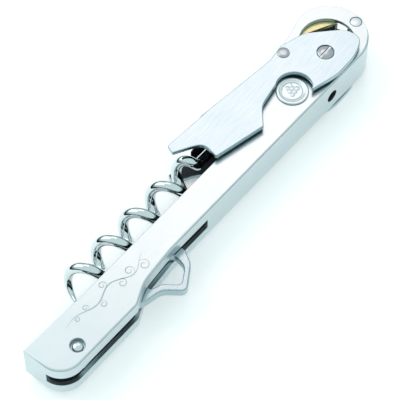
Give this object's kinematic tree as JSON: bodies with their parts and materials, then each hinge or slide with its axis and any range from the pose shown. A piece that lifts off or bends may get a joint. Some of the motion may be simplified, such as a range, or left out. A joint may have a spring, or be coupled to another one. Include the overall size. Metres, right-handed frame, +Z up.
{
  "type": "lever corkscrew",
  "caption": "Folding steel corkscrew: slotted sheet handle with a ring head, a hinged worm, a hinged lever, a swing-out cap lifter and a small foil blade in the head window.",
  "frame": {"origin": "on the surface the folded tool lies on, under the middle of its bounding box", "axes": "+X along the handle towards the ring head, +Y across it from the spine towards the worm and lever, +Z up through the near side plate"},
  "size_m": [0.1284, 0.0282, 0.015],
  "materials": {
    "satin_steel": "satin ground stainless steel",
    "polished_steel": "polished stainless or chromed steel",
    "gold_coated_steel": "gold-coloured coated blade steel",
    "black_acetal": "black moulded acetal"
  },
  "bodies": {
    "handle": {"handle_shell": "satin_steel", "worm_pivot_pin": "satin_steel", "medallion_near": "satin_steel", "medallion_far": "satin_steel", "worm_bush_near": "satin_steel", "worm_bush_far": "satin_steel", "blade_carrier": "black_acetal", "foil_blade": "gold_coated_steel", "carrier_rivet": "polished_steel", "head_rivet": "polished_steel", "head_spacer": "polished_steel", "lifter_rivet": "satin_steel", "lifter_bush_near": "satin_steel", "lifter_bush_far": "satin_steel", "lever_washer_near": "polished_steel", "lever_washer_far": "polished_steel"},
    "worm": {"worm": "polished_steel"},
    "lever": {"lever_arm_near": "satin_steel", "lever_arm_far": "satin_steel", "lever_barrel": "polished_steel", "lever_screw": "polished_steel", "lever_nut": "polished_steel", "lever_stud_near": "polished_steel", "lever_stud_far": "polished_steel"},
    "lifter": {"cap_lifter": "satin_steel"}
  },
  "joints": [
    {"name": "worm_swing", "type": "hinge", "parent": "handle", "child": "worm", "pos_m": [0.03404, 0.00078, 0.00735], "axis": [0, 0, -1], "range_deg": [0, 95]},
    {"name": "lever_swing", "type": "hinge", "parent": "handle", "child": "lever", "pos_m": [0.04793, 0.00108, 0.00735], "axis": [0, 0, -1], "range_deg": [0, 170]},
    {"name": "lifter_swing", "type": "hinge", "parent": "handle", "child": "lifter", "pos_m": [-0.05496, -0.00572, 0.00735], "axis": [0, 0, -1], "range_deg": [0, 175]}
  ]
}
